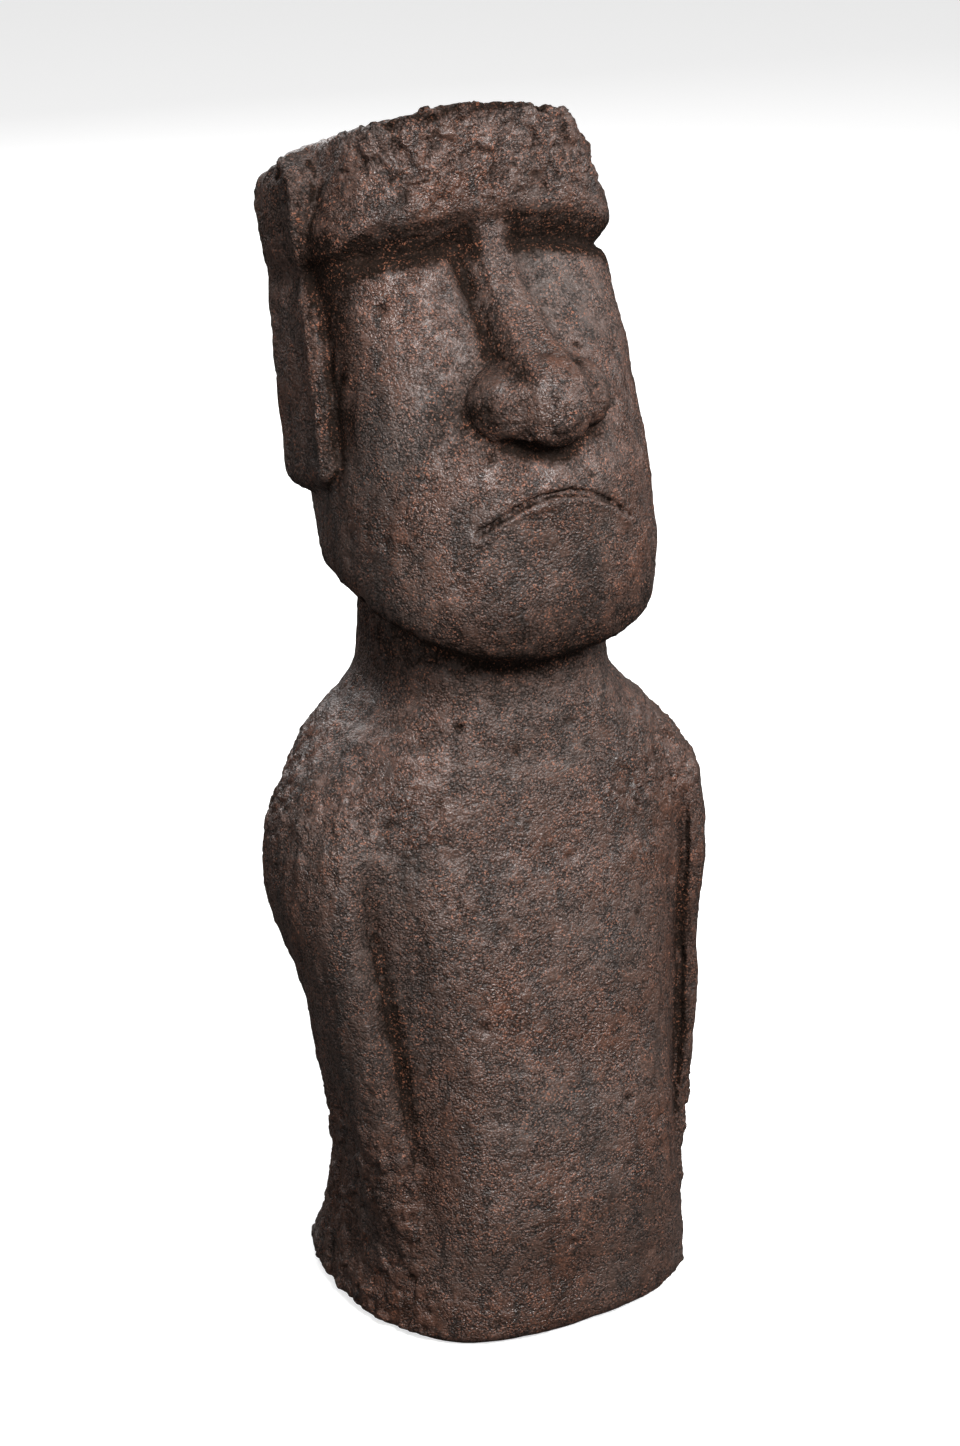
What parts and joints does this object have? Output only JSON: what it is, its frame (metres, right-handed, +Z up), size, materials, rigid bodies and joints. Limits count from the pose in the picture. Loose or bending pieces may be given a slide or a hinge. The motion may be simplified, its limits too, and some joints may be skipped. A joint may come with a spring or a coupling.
{
  "type": "moai stone head statue",
  "caption": "Standing moai figure in dark cast stone: long tilted head with heavy brow, long ears, arms at its sides and a flat base.",
  "frame": {"origin": "centre of the underside, on the ground", "axes": "+Z up, -Y the way the face looks, +X to the statue's own left"},
  "size_m": [0.2261, 0.2132, 0.5873],
  "materials": {
    "cast_stone": "rough, gritty cast surface with a dark brown waxy coat over terracotta"
  },
  "bodies": {
    "root": {"moai_figure": "cast_stone"}
  },
  "joints": []
}
